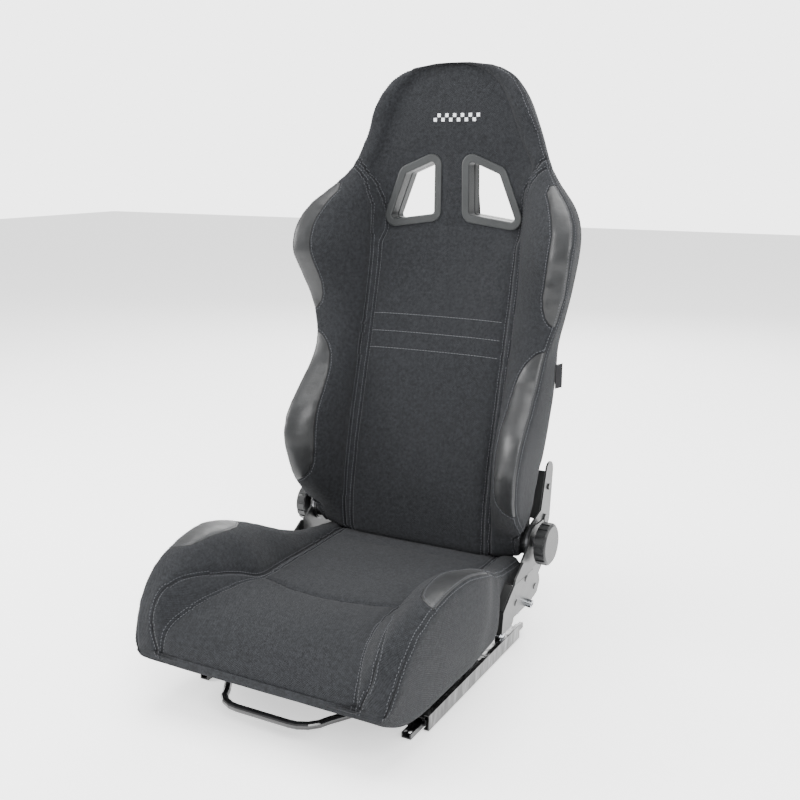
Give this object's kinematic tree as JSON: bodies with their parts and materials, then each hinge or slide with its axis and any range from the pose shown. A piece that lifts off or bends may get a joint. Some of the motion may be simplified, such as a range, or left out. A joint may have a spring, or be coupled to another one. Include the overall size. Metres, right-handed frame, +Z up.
{
  "type": "reclining racing seat",
  "caption": "Bolstered bucket-style seat with belt slots, knob-operated reclining backrest and floor rails with a slide handle.",
  "frame": {"origin": "centre of the four floor bolt holes, at the underside of the lower rails", "axes": "+Z up, the sitter faces -Y, +X to the side shown in front in the picture"},
  "size_m": [0.4908, 0.6584, 0.887],
  "materials": {
    "cloth": "charcoal woven fabric over foam, with smooth dark leather-look patches",
    "black_plastic": "fine-grained black moulding",
    "tag": "woven label, blank",
    "nylon": "natural nylon",
    "zinc_steel": "bright zinc plate",
    "bare_steel": "oiled machined steel",
    "black_steel": "satin black paint over pressed steel"
  },
  "bodies": {
    "floor_rails": {"lower_rail_left": "black_steel", "lower_rail_right": "black_steel"},
    "seat_base": {"upper_rail_left": "black_steel", "upper_rail_right": "black_steel", "glides_left": "nylon", "glides_right": "nylon", "cushion_frame": "black_steel", "frame_standoffs": "zinc_steel", "cushion_springs": "zinc_steel", "cushion_pad": "cloth", "side_plate_left": "black_steel", "side_plate_right": "black_steel", "recliner_plate_left": "black_steel", "recliner_plate_right": "black_steel", "recliner_ring_left": "black_steel", "recliner_ring_right": "black_steel", "rivets_left": "black_steel", "rivets_right": "black_steel", "frame_screws_left": "zinc_steel", "frame_screws_right": "zinc_steel", "foot_bolt_left": "zinc_steel", "foot_bolt_right": "zinc_steel", "latch_pins": "zinc_steel"},
    "backrest": {"arm_left": "black_steel", "arm_right": "black_steel", "recliner_gear_left": "bare_steel", "recliner_gear_right": "bare_steel", "arm_screws_left": "zinc_steel", "arm_screws_right": "zinc_steel", "balance_spring_left": "black_steel", "balance_spring_right": "black_steel", "back_frame": "black_steel", "back_springs": "zinc_steel", "back_pad": "cloth", "back_panel": "black_plastic", "slot_rim_front_left": "black_plastic", "slot_rim_front_right": "black_plastic", "slot_rim_rear_left": "black_plastic", "slot_rim_rear_right": "black_plastic", "side_tag": "tag"},
    "knobs": {"cross_shaft": "zinc_steel", "knob_left": "black_plastic", "knob_right": "black_plastic", "cam_left": "bare_steel", "cam_right": "bare_steel"},
    "handle": {"handle_bar": "black_steel", "latch_left": "black_steel", "latch_right": "black_steel"}
  },
  "joints": [
    {"name": "seat_slide", "type": "slide", "parent": "floor_rails", "child": "seat_base", "axis": [0, 1, 0], "range_m": [-0.12, 0.08]},
    {"name": "recline", "type": "hinge", "parent": "seat_base", "child": "backrest", "pos_m": [0, 0.179, 0.158], "axis": [-1, 0, 0], "range_deg": [-12, 62]},
    {"name": "knob_turn", "type": "hinge", "parent": "seat_base", "child": "knobs", "pos_m": [0, 0.179, 0.158], "axis": [-1, 0, 0], "continuous": true},
    {"name": "handle_lift", "type": "hinge", "parent": "seat_base", "child": "handle", "pos_m": [0, -0.02, 0.032], "axis": [-1, 0, 0], "range_deg": [0, 6], "stiffness_Nm_per_rad": 6, "springref_deg": -14.32}
  ],
  "couplings": [
    {"joint": "knob_turn", "follows": "recline", "ratio": -30}
  ]
}
